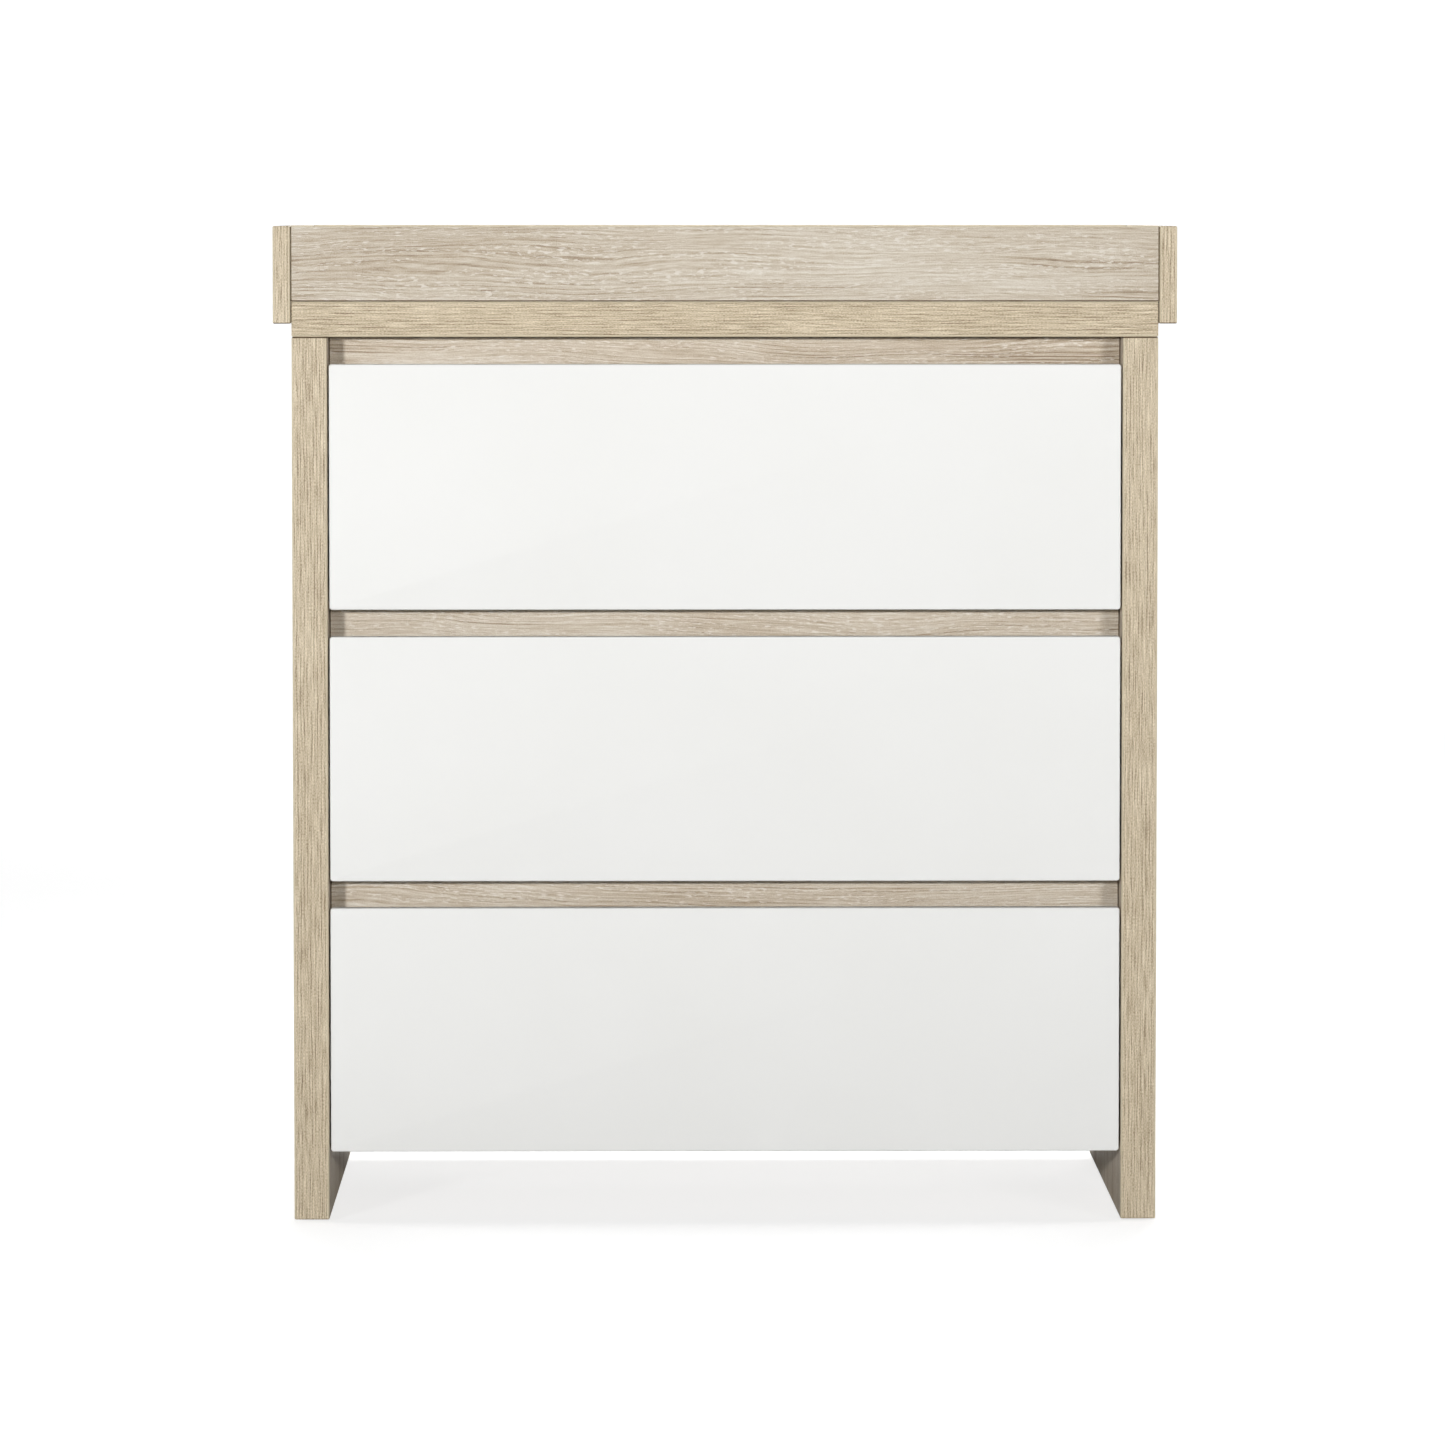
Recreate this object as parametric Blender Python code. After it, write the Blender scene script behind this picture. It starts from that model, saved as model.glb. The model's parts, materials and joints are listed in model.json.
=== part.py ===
"""Changing table: a chest of three drawers with a lift-off changing tray on its top.

Metres, +Z up. The front faces -Y, and +X is on the right of someone standing in front of it.
The origin is on the floor, under the middle of the chest.
"""

import math

import bmesh
import bpy
from mathutils import Matrix, Vector

# Gaps
TOUCH = 0.0003              # between two pieces that bear on each other
OVERRUN = 0.005             # how far a cutter runs past the face it cuts

# Chest
CHEST_WIDTH = 0.884
CHEST_DEPTH = 0.530
UNDER_GAP = 0.070           # from the lower ends of the sides to the bottom drawer front
BOARD = 0.018
PANEL = 0.036               # a doubled board, used for the sides and the top
EDGE_ROUNDING = 0.001
GLIDE_HEIGHT = 0.002
GLIDE_RADIUS = 0.012
GLIDE_CHAMFER = 0.0008
GLIDE_SETBACK = 0.040       # from the front and the rear edge of a side

# Back
BACK_SHEET = 0.003
BACK_INSET = 0.012          # from the rear edges of the sides to the sheet
BACK_GROOVE = 0.008         # depth of the grooves that hold the sheet
STRETCHER_HEIGHT = 0.070
JOINER_WALL = 0.001
JOINER_LIP = 0.006          # how far the joiner holds each sheet

# Drawer fronts and the rails behind their finger gaps
DRAWERS = ("bottom", "middle", "top")
FRONT_HEIGHT = 0.2508
FRONT_THICKNESS = 0.018
FRONT_ROUNDING = 0.0025
FRONT_REVEAL = 0.0018       # on each side of a front
FINGER_GAP = 0.0275         # above each front
RAIL_SETBACK = 0.042
RAIL_LAP_ABOVE = 0.012      # how far a rail goes on behind the front above its finger gap
RAIL_LAP_BELOW = 0.018      # and behind the front below it
BOTTOM_CLEARANCE = 0.004    # from the bottom panel up to the drawer box above it
BOTTOM_SETBACK = 0.002      # from the rear of the drawer fronts to the bottom panel

# Drawer boxes
BOX_RISE = 0.024            # the box's lower edge above the front's lower edge
BOX_DROP = 0.030            # the box's upper edge below the front's upper edge
BOX_BOARD = 0.012
BOX_SHEET = 0.004
BOX_SHEET_RISE = 0.010      # the sheet's underside above the box's lower edge
BOX_GROOVE = 0.005
FRONT_GROOVE = 0.006
BATTEN_WIDTH = 0.050

# Runners: a cabinet member, an intermediate member and a drawer member, one inside the other
RUNNER_THICKNESS = 0.0127
RUNNER_HEIGHT = 0.0456
RUNNER_STEEL = 0.0012
RUNNER_STEP = 0.050         # runners come in lengths of this step
RUNNER_RISE = 0.070         # a runner's middle above the box's lower edge
BALL_SPACE = 0.0041         # between two members, above and below
CABINET_LIP_GAP = 0.0031    # from the cabinet member's lips to the drawer side of the runner
MIDDLE_LIP_GAP = 0.0015     # from the middle member's lips to the drawer side of the runner
MIDDLE_WEB_GAP = 0.0034     # between the webs of the cabinet and middle members
DRAWER_LIP_GAP = 0.0017     # between the middle member's web and the drawer member's lips

# Changing tray
TRAY_RAIL_HEIGHT = 0.0765
TRAY_END_LAP = 0.0225       # how far the end boards reach down past the chest's top
TRAY_CLEARANCE = 0.001      # between an end board and the chest's end
DOWEL_RADIUS = 0.004
DOWEL_IN_RAIL = 0.018
DOWEL_OUT = 0.012
DOWEL_SPREAD = 0.300        # from the middle to each dowel
DOWEL_CHAMFER = 0.001
DOWEL_FIT = 0.0003          # radial clearance in the tray's rails
DOWEL_SLIDE_FIT = 0.0005    # radial clearance in the chest's top

# Worked out from the sizes above
SIDES = (("left", -1), ("right", 1))
FRONT_FACE = -CHEST_DEPTH / 2
REAR_FACE = CHEST_DEPTH / 2
CHEST_END = CHEST_WIDTH / 2
INSIDE = CHEST_END - PANEL
SIDE_FOOT = GLIDE_HEIGHT + TOUCH
FIRST_FRONT = SIDE_FOOT + UNDER_GAP
FRONT_PITCH = FRONT_HEIGHT + FINGER_GAP
SIDE_HEAD = FIRST_FRONT + len(DRAWERS) * FRONT_PITCH
TOP_UNDERSIDE = SIDE_HEAD + TOUCH
TOP_SURFACE = TOP_UNDERSIDE + PANEL
FRONT_BACK = FRONT_FACE + FRONT_THICKNESS
RAIL_FACE = FRONT_FACE + RAIL_SETBACK
BACK_REAR = REAR_FACE - BACK_INSET
BACK_FACE = BACK_REAR - BACK_SHEET
STRETCHER_REAR = BACK_FACE - TOUCH
BOTTOM_UNDERSIDE = FIRST_FRONT + BOX_RISE - BOTTOM_CLEARANCE - BOARD
BOX_FRONT = FRONT_BACK + TOUCH
RUNNER_LENGTH = math.floor((STRETCHER_REAR - BOARD - BOX_FRONT) / RUNNER_STEP) * RUNNER_STEP
BOX_REAR = BOX_FRONT + RUNNER_LENGTH
BOX_SIDE = INSIDE - RUNNER_THICKNESS - 2 * TOUCH
BOX_INSIDE = BOX_SIDE - BOX_BOARD
TRAY_INSIDE = CHEST_END + TRAY_CLEARANCE
TRAY_TOP = TOP_SURFACE + TOUCH + TRAY_RAIL_HEIGHT


def clear_scene():
    for old in list(bpy.data.objects):
        bpy.data.objects.remove(old)


def finish(name, colour, roughness, metallic=0.0):
    """A material with a linear base colour."""
    made = bpy.data.materials.new(name)
    made.use_nodes = True
    shader = made.node_tree.nodes["Principled BSDF"]
    shader.inputs["Base Color"].default_value = (*colour, 1.0)
    shader.inputs["Roughness"].default_value = roughness
    shader.inputs["Metallic"].default_value = metallic
    made.diffuse_color = (*colour, 1.0)
    return made


def body(name, place=(0, 0, 0)):
    """An empty on the joint's axis, which carries the pieces that move together."""
    carrier = bpy.data.objects.new(name, None)
    carrier.location = place
    bpy.context.scene.collection.objects.link(carrier)
    return carrier


def piece(name, shape, place, material, carrier):
    """An object made of a bmesh shape, with its origin at a place given in the world."""
    mesh = bpy.data.meshes.new(name)
    bmesh.ops.recalc_face_normals(shape, faces=shape.faces)
    shape.to_mesh(mesh)
    shape.free()
    mesh.materials.append(material)
    made = bpy.data.objects.new(name, mesh)
    made.parent = carrier
    made.location = Vector(place) - carrier.location
    bpy.context.scene.collection.objects.link(made)
    return made


def round_edges(shape, edges, width, segments):
    bmesh.ops.bevel(
        shape,
        geom=edges,
        offset=width,
        offset_type="OFFSET",
        segments=segments,
        profile=0.5,
        affect="EDGES",
        material=-1,
    )


def box_shape(size):
    shape = bmesh.new()
    bmesh.ops.create_cube(shape, size=1)
    bmesh.ops.scale(shape, vec=size, verts=shape.verts)
    return shape


def board(name, low, high, material, carrier, rounding=EDGE_ROUNDING, segments=1):
    """A board between two corners, with its edges eased."""
    low, high = Vector(low), Vector(high)
    shape = box_shape(high - low)
    round_edges(shape, shape.edges[:], rounding, segments)
    return piece(name, shape, (low + high) / 2, material, carrier)


def turned(name, radius, low, high, chamfers, material, carrier, place, segments=24):
    """An upright round piece, with a chamfer at its lower and its upper end."""
    shape = bmesh.new()
    bmesh.ops.create_cone(
        shape, cap_ends=True, segments=segments, radius1=radius, radius2=radius, depth=high - low
    )
    for sign, chamfer in zip((-1, 1), chamfers):
        rim = [edge for edge in shape.edges if all(sign * v.co.z > 0 for v in edge.verts)]
        round_edges(shape, rim, chamfer, 1)
    made = piece(name, shape, (place[0], place[1], (low + high) / 2), material, carrier)
    made.data.shade_smooth()
    made.data.set_sharp_from_angle(angle=math.radians(40))
    return made


def extruded(name, outline, axes, start, length, material, carrier):
    """An outline of (u, v) points pushed along w; axes gives the world directions of u, v and w."""
    shape = bmesh.new()
    corners = [shape.verts.new((u, v, 0)) for u, v in outline]
    face = shape.faces.new(corners)
    pushed = bmesh.ops.extrude_face_region(shape, geom=[face])["geom"]
    moved = [item for item in pushed if isinstance(item, bmesh.types.BMVert)]
    bmesh.ops.translate(shape, vec=(0, 0, length), verts=moved)
    turn = Matrix(axes).transposed().to_4x4()
    bmesh.ops.transform(shape, matrix=turn, verts=shape.verts)
    return piece(name, shape, start, material, carrier)


def cut(target, cutter):
    """Takes a helper shape out of a piece."""
    cutter.hide_render = True
    cutter.display_type = "WIRE"
    away = target.modifiers.new(cutter.name, "BOOLEAN")
    away.operation = "DIFFERENCE"
    away.solver = "EXACT"
    away.object = cutter


def cut_box(target, name, low, high):
    low, high = Vector(low), Vector(high)
    material = target.data.materials[0]
    cut(target, piece(name, box_shape(high - low), (low + high) / 2, material, target.parent))


def cut_hole(target, name, radius, low, high, place, segments=16):
    shape = bmesh.new()
    bmesh.ops.create_cone(
        shape, cap_ends=True, segments=segments, radius1=radius, radius2=radius, depth=high - low
    )
    centre = (place[0], place[1], (low + high) / 2)
    cut(target, piece(name, shape, centre, target.data.materials[0], target.parent))


def across(side, inner, outer):
    """The low and high X between two distances from the middle, on one side of it."""
    return min(side * inner, side * outer), max(side * inner, side * outer)


def side_panels(carrier, material):
    for label, side in SIDES:
        low, high = across(side, INSIDE, CHEST_END)
        panel = board(
            f"{label}_side_panel", (low, FRONT_FACE, SIDE_FOOT), (high, REAR_FACE, SIDE_HEAD),
            material, carrier,
        )
        low, high = across(side, INSIDE - OVERRUN, INSIDE + BACK_GROOVE)
        cut_box(
            panel, f"{label}_back_groove",
            (low, BACK_FACE - TOUCH, SIDE_FOOT - OVERRUN), (high, BACK_REAR + TOUCH, SIDE_HEAD + OVERRUN),
        )


def glides(carrier, material):
    depth = CHEST_DEPTH / 2 - GLIDE_SETBACK
    for label, side in SIDES:
        for end, sign in (("front", -1), ("rear", 1)):
            place = (side * (CHEST_END - PANEL / 2), sign * depth)
            turned(
                f"{end}_{label}_glide", GLIDE_RADIUS, 0, GLIDE_HEIGHT,
                (GLIDE_CHAMFER, GLIDE_CHAMFER / 2), material, carrier, place,
            )


def dowel_places():
    """Each dowel's name, the rail that holds it, and its X and Y."""
    for end, y in (("front", FRONT_FACE + BOARD / 2), ("back", REAR_FACE - BOARD / 2)):
        for label, side in SIDES:
            yield f"tray_dowel_{end}_{label}", end, (side * DOWEL_SPREAD, y)


def top_panel(carrier, material):
    panel = board(
        "top_panel", (-CHEST_END, FRONT_FACE, TOP_UNDERSIDE), (CHEST_END, REAR_FACE, TOP_SURFACE),
        material, carrier,
    )
    radius = DOWEL_RADIUS + DOWEL_SLIDE_FIT
    for name, _, place in dowel_places():
        bottom = TOP_SURFACE - DOWEL_OUT - TOUCH
        cut_hole(panel, f"{name}_socket", radius, bottom, TOP_SURFACE + OVERRUN, place)


def bottom_panel(carrier, material):
    reach = INSIDE - TOUCH
    board(
        "bottom_panel", (-reach, FRONT_BACK + BOTTOM_SETBACK, BOTTOM_UNDERSIDE),
        (reach, BACK_FACE - TOUCH, BOTTOM_UNDERSIDE + BOARD), material, carrier,
    )


def cross_rails(carrier, material):
    """The boards that close each finger gap from behind."""
    reach = INSIDE - TOUCH
    names = ("lower_cross_rail", "upper_cross_rail", "top_cross_rail")
    for count, name in enumerate(names, 1):
        gap_foot = FIRST_FRONT + count * FRONT_PITCH - FINGER_GAP
        head = min(gap_foot + FINGER_GAP + RAIL_LAP_ABOVE, SIDE_HEAD)
        board(
            name, (-reach, RAIL_FACE, gap_foot - RAIL_LAP_BELOW), (reach, RAIL_FACE + BOARD, head),
            material, carrier,
        )


def back(carrier, sheet_material, board_material, joiner_material):
    """Two sheets in the sides' grooves, the profile that joins them, and the board behind the top."""
    reach = INSIDE + BACK_GROOVE - TOUCH
    joint = (BOTTOM_UNDERSIDE + TOP_UNDERSIDE) / 2
    sheets = (
        ("back_panel_lower", BOTTOM_UNDERSIDE, joint - JOINER_WALL / 2 - TOUCH),
        ("back_panel_upper", joint + JOINER_WALL / 2 + TOUCH, SIDE_HEAD),
    )
    for name, low, high in sheets:
        board(
            name, (-reach, BACK_FACE, low), (reach, BACK_REAR, high), sheet_material, carrier,
            BACK_SHEET / 8,
        )
    reach = INSIDE - TOUCH
    board(
        "back_stretcher", (-reach, STRETCHER_REAR - BOARD, SIDE_HEAD - STRETCHER_HEIGHT),
        (reach, STRETCHER_REAR, SIDE_HEAD), board_material, carrier,
    )
    slot = BACK_SHEET / 2 + TOUCH
    skin = slot + JOINER_WALL
    web = JOINER_WALL / 2
    lip = web + JOINER_LIP
    quarter = ((slot, web), (slot, lip), (skin, lip))
    outline = [(y, z) for y, z in quarter]
    outline += [(y, -z) for y, z in reversed(quarter)]
    outline += [(-y, -z) for y, z in quarter]
    outline += [(-y, z) for y, z in reversed(quarter)]
    extruded(
        "back_panel_joiner", outline, ((0, 1, 0), (0, 0, 1), (1, 0, 0)),
        (-reach, (BACK_FACE + BACK_REAR) / 2, joint), 2 * reach, joiner_material, carrier,
    )


def channel(name, side, start, end, web_first, half, centre, material, carrier):
    """One runner member: a channel that lies between two distances from the chest's side."""
    web, lip = (start, end) if web_first else (end, start)
    inner = web + math.copysign(RUNNER_STEEL, lip - web)
    outline = [
        (web, -half), (lip, -half), (lip, RUNNER_STEEL - half), (inner, RUNNER_STEEL - half),
        (inner, half - RUNNER_STEEL), (lip, half - RUNNER_STEEL), (lip, half), (web, half),
    ]
    place = (side * (INSIDE - TOUCH), BOX_FRONT, centre)
    axes = ((-side, 0, 0), (0, 0, 1), (0, 1, 0))
    extruded(name, outline, axes, place, RUNNER_LENGTH, material, carrier)


def runners(drawer, centre, chest_body, slides_body, drawer_body, material):
    """The three members on each side of one drawer."""
    cabinet_half = RUNNER_HEIGHT / 2
    middle_half = cabinet_half - RUNNER_STEEL - BALL_SPACE
    drawer_half = middle_half - RUNNER_STEEL - BALL_SPACE
    middle_start = RUNNER_STEEL + MIDDLE_WEB_GAP
    drawer_start = middle_start + RUNNER_STEEL + DRAWER_LIP_GAP
    cabinet_end = RUNNER_THICKNESS - CABINET_LIP_GAP
    middle_end = RUNNER_THICKNESS - MIDDLE_LIP_GAP
    for label, side in SIDES:
        members = (
            ("cabinet", 0, cabinet_end, True, cabinet_half, chest_body),
            ("middle", middle_start, middle_end, True, middle_half, slides_body),
            ("drawer", drawer_start, RUNNER_THICKNESS, False, drawer_half, drawer_body),
        )
        for member, start, end, web_first, half, carrier in members:
            channel(
                f"{drawer}_{label}_runner_{member}_member", side, start, end, web_first, half,
                centre, material, carrier,
            )


def drawer_front(drawer, foot, sheet_low, sheet_high, carrier, material):
    reach = INSIDE - FRONT_REVEAL
    front = board(
        f"{drawer}_drawer_front", (-reach, FRONT_FACE, foot), (reach, FRONT_BACK, foot + FRONT_HEIGHT),
        material, carrier, FRONT_ROUNDING, 3,
    )
    reach = BOX_INSIDE + BOX_GROOVE
    cut_box(
        front, f"{drawer}_drawer_front_groove",
        (-reach, FRONT_BACK - FRONT_GROOVE, sheet_low), (reach, FRONT_BACK + OVERRUN, sheet_high),
    )


def drawer_box(drawer, foot, carrier, board_material, sheet_material):
    """The sides, the back, the bottom sheet and the batten under it."""
    low = foot + BOX_RISE
    high = foot + FRONT_HEIGHT - BOX_DROP
    sheet_low = low + BOX_SHEET_RISE
    sheet_high = sheet_low + BOX_SHEET
    for label, side in SIDES:
        left, right = across(side, BOX_INSIDE, BOX_SIDE)
        wall = board(
            f"{drawer}_drawer_{label}_side", (left, BOX_FRONT, low), (right, BOX_REAR, high),
            board_material, carrier,
        )
        left, right = across(side, BOX_INSIDE - OVERRUN, BOX_INSIDE + BOX_GROOVE)
        cut_box(
            wall, f"{drawer}_drawer_{label}_groove",
            (left, BOX_FRONT - OVERRUN, sheet_low - TOUCH), (right, BOX_REAR + OVERRUN, sheet_high + TOUCH),
        )
    reach = BOX_INSIDE - TOUCH
    board(
        f"{drawer}_drawer_back", (-reach, BOX_REAR - BOX_BOARD, sheet_high + TOUCH),
        (reach, BOX_REAR, high), board_material, carrier,
    )
    reach = BOX_INSIDE + BOX_GROOVE - TOUCH
    board(
        f"{drawer}_drawer_bottom", (-reach, FRONT_BACK - FRONT_GROOVE + TOUCH, sheet_low),
        (reach, BOX_REAR, sheet_high), sheet_material, carrier, BOX_SHEET / 8,
    )
    board(
        f"{drawer}_drawer_batten", (-BATTEN_WIDTH / 2, BOX_FRONT, low),
        (BATTEN_WIDTH / 2, BOX_REAR, sheet_low - TOUCH), board_material, carrier,
    )


def drawers(chest_body, front_material, box_material, sheet_material, steel):
    for count, drawer in enumerate(DRAWERS):
        foot = FIRST_FRONT + count * FRONT_PITCH
        runner_centre = foot + BOX_RISE + RUNNER_RISE
        place = (0, BOX_FRONT, runner_centre)
        drawer_body = body(f"{drawer}_drawer", place)
        slides_body = body(f"{drawer}_drawer_slides", place)
        sheet_low = foot + BOX_RISE + BOX_SHEET_RISE
        drawer_front(
            drawer, foot, sheet_low - TOUCH, sheet_low + BOX_SHEET + TOUCH, drawer_body, front_material
        )
        drawer_box(drawer, foot, drawer_body, box_material, sheet_material)
        runners(drawer, runner_centre, chest_body, slides_body, drawer_body, steel)


def tray(board_material, dowel_material):
    """Two end boards that reach down over the chest's ends, and two rails between them."""
    carrier = body("changing_tray", (0, 0, TOP_SURFACE))
    for label, side in SIDES:
        low, high = across(side, TRAY_INSIDE, TRAY_INSIDE + BOARD)
        board(
            f"tray_{label}_end", (low, FRONT_FACE, TOP_SURFACE - TRAY_END_LAP),
            (high, REAR_FACE, TRAY_TOP), board_material, carrier,
        )
    reach = TRAY_INSIDE - TOUCH
    foot = TOP_SURFACE + TOUCH
    rails = {}
    for end, y in (("front", FRONT_FACE), ("back", REAR_FACE - BOARD)):
        rails[end] = board(
            f"tray_{end}_rail", (-reach, y, foot), (reach, y + BOARD, TRAY_TOP), board_material, carrier
        )
    for name, end, place in dowel_places():
        cut_hole(
            rails[end], f"{name}_hole", DOWEL_RADIUS + DOWEL_FIT,
            foot - OVERRUN, foot + DOWEL_IN_RAIL + TOUCH, place,
        )
        turned(
            name, DOWEL_RADIUS, TOP_SURFACE - DOWEL_OUT, foot + DOWEL_IN_RAIL,
            (DOWEL_CHAMFER, DOWEL_CHAMFER), dowel_material, carrier, place, segments=16,
        )


def main():
    clear_scene()
    oak = finish("limed_oak_board", (0.60, 0.51, 0.39), 0.55)
    white = finish("white_front", (0.86, 0.86, 0.84), 0.32)
    box_board = finish("white_box_board", (0.78, 0.78, 0.76), 0.45)
    sheet = finish("white_sheet", (0.72, 0.72, 0.70), 0.50)
    steel = finish("zinc_steel", (0.62, 0.63, 0.64), 0.35, 1.0)
    joiner = finish("joiner_plastic", (0.75, 0.75, 0.73), 0.45)
    beech = finish("dowel_beech", (0.62, 0.44, 0.27), 0.65)
    glide = finish("glide_plastic", (0.08, 0.08, 0.08), 0.50)
    chest_body = body("carcass")
    side_panels(chest_body, oak)
    glides(chest_body, glide)
    top_panel(chest_body, oak)
    bottom_panel(chest_body, oak)
    cross_rails(chest_body, oak)
    back(chest_body, sheet, oak, joiner)
    drawers(chest_body, white, box_board, sheet, steel)
    tray(oak, beech)


main()
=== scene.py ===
import json
import math

import bmesh
import bpy
from mathutils import Matrix, Vector


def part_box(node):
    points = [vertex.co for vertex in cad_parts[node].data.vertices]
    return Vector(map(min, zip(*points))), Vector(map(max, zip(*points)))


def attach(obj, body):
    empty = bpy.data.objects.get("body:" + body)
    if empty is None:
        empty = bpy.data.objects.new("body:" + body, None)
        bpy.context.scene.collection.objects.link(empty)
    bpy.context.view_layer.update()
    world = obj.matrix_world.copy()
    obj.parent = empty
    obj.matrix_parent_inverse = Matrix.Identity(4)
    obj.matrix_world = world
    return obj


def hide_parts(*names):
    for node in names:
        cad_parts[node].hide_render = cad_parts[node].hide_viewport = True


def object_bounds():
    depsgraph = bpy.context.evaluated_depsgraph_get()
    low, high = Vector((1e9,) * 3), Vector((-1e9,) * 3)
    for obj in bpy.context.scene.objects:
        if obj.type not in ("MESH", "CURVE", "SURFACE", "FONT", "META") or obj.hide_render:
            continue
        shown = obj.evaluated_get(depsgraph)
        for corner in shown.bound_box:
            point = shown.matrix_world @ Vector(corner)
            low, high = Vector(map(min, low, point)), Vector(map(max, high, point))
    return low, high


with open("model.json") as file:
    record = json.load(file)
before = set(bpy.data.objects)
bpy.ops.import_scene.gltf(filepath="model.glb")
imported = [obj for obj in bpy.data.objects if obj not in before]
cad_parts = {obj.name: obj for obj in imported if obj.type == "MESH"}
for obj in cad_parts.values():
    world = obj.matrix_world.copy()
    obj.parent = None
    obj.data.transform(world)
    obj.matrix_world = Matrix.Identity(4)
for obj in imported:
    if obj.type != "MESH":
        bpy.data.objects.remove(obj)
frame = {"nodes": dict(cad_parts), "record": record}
cad_low, cad_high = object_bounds()

DRAWERS = ("bottom", "middle", "top")
SIDES = (("left", -1), ("right", 1))

# Camera
CAMERA_DISTANCE = 7.5       # from the plane of the drawer fronts
CAMERA_RIGHT = -0.078       # from the middle of the chest
CAMERA_ABOVE_TRAY = 0.018
CAMERA_TURN = 0.575         # degrees to the right
CAMERA_TILT = -3.44         # degrees, downwards
CAMERA_LENS = 183.15
CAMERA_SHIFT = -0.05
CAMERA_SENSOR = 36          # millimetres

# Stage
STAGE_RADIUS = 11.0         # of the flat floor, beyond which it curves up
STAGE_CURVE = 2.5
STAGE_HEIGHT = 7.5
STAGE_STEPS = 72            # round the stage
STAGE_GREY = 0.45
STAGE_GLOW = 0.05           # light that the floor gives to the object
STAGE_WHITE = 0.70          # light that only the camera sees, near the object
STAGE_FAR_WHITE = 0.95      # and far from it
STAGE_NEAR, STAGE_FAR = 2.5, 8.0
SKY_GLOW = 0.03
LAMPS = (                   # name, place, point it faces, width and height, watts, spread in degrees
    ("key_left", (-3.20, -7.3, 1.50), (0, 0, 1.90), (0.7, 0.35), 59.5, 75),
    ("key_right", (3.50, -7.2, 1.50), (0, 0, 1.90), (1.5, 0.35), 39, 75),
    ("top", (0, 1.7, 4.2), (0, 0, 1.0), (2.2, 1.2), 44, 110),
    ("side_left", (-5.2, 0.7, 1.8), (0, 0, 0.6), (1.6, 2.0), 91, 180),
    ("side_right", (5.2, 0.7, 1.8), (0, 0, 0.6), (1.6, 2.0), 98, 180),
    ("behind", (0.8, 5.6, 2.4), (0, 0, 0.6), (3.0, 1.6), 52, 180),
)


def srgb(red, green, blue):
    """A linear colour from a swatch of 0 to 255."""
    linear = []
    for value in (red, green, blue):
        value /= 255
        linear.append(value / 12.92 if value <= 0.04045 else ((value + 0.055) / 1.055) ** 2.4)
    return (*linear, 1.0)


class Nodes:
    """Adds nodes to a node tree, and wires each one as it is added."""

    def __init__(self, tree):
        self.tree = tree

    def feed(self, socket, value):
        if isinstance(value, bpy.types.NodeSocket):
            self.tree.links.new(value, socket)
        else:
            socket.default_value = value

    def add(self, kind, feeds=None, **settings):
        node = self.tree.nodes.new("ShaderNode" + kind)
        for key, value in settings.items():
            setattr(node, key, value)
        for key, value in (feeds or {}).items():
            self.feed(node.inputs[key], value)
        return node

    def math(self, operation, first, second=0.0, third=0.0, clamp=False):
        node = self.add("Math", {0: first, 1: second, 2: third}, operation=operation)
        node.use_clamp = clamp
        return node.outputs[0]

    def split(self, vector):
        return self.add("SeparateXYZ", {0: vector}).outputs

    def join(self, x=0.0, y=0.0, z=0.0):
        return self.add("CombineXYZ", {0: x, 1: y, 2: z}).outputs[0]

    def noise(self, vector, scale=1.0, detail=2.0, roughness=0.5):
        feeds = {"Vector": vector, "Scale": scale, "Detail": detail, "Roughness": roughness}
        return self.add("TexNoise", feeds).outputs[0]

    def stretched(self, along, across, along_rate, across_rate, detail=2.0, roughness=0.5):
        """Noise drawn out along the grain: the rates are its features per metre each way."""
        length = self.math("MULTIPLY", along, along_rate)
        width = self.math("MULTIPLY", across, across_rate)
        return self.noise(self.join(length, width), 1.0, detail, roughness)

    def step(self, value, low, high):
        """0 below low, 1 above high, and smooth between them."""
        feeds = {"Value": value, "From Min": low, "From Max": high}
        node = self.add("MapRange", feeds, interpolation_type="SMOOTHSTEP")
        return node.outputs[0]

    def warped(self, place, noise, reach):
        """A place pushed to and fro by a noise, up to about a third of its reach."""
        return self.math("MULTIPLY_ADD", self.math("SUBTRACT", noise, 0.5), reach, place)

    def ribs(self, across, noise, rate, spread):
        """Thin lines side by side, so many to the metre, whose spacing a noise spreads."""
        turns = self.math("MULTIPLY_ADD", noise, spread, self.math("MULTIPLY", across, rate))
        wave = self.math("SINE", self.math("MULTIPLY", turns, math.tau))
        return self.step(wave, 0.1, 0.95)

    def mixed(self, layers, middle):
        """Noises added up by weight round a middle value."""
        total = middle
        for noise, weight in layers:
            total = self.math("MULTIPLY_ADD", self.math("SUBTRACT", noise, 0.5), weight, total)
        return total

    def shaded(self, tone, shades):
        """A colour ramp through swatches."""
        ramp = self.add("ValToRGB", {0: tone})
        stops = ramp.color_ramp.elements
        while len(stops) < len(shades):
            stops.new(0.5)
        for stop, (place, swatch) in zip(stops, shades):
            stop.position = place
            stop.color = srgb(*swatch)
        return ramp.outputs[0]

    def blend(self, factor, first, second, mode="MIX"):
        node = self.add("Mix", data_type="RGBA", blend_type=mode)
        self.feed(node.inputs[0], factor)
        self.feed(node.inputs[6], first)
        self.feed(node.inputs[7], second)
        return node.outputs[2]


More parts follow.
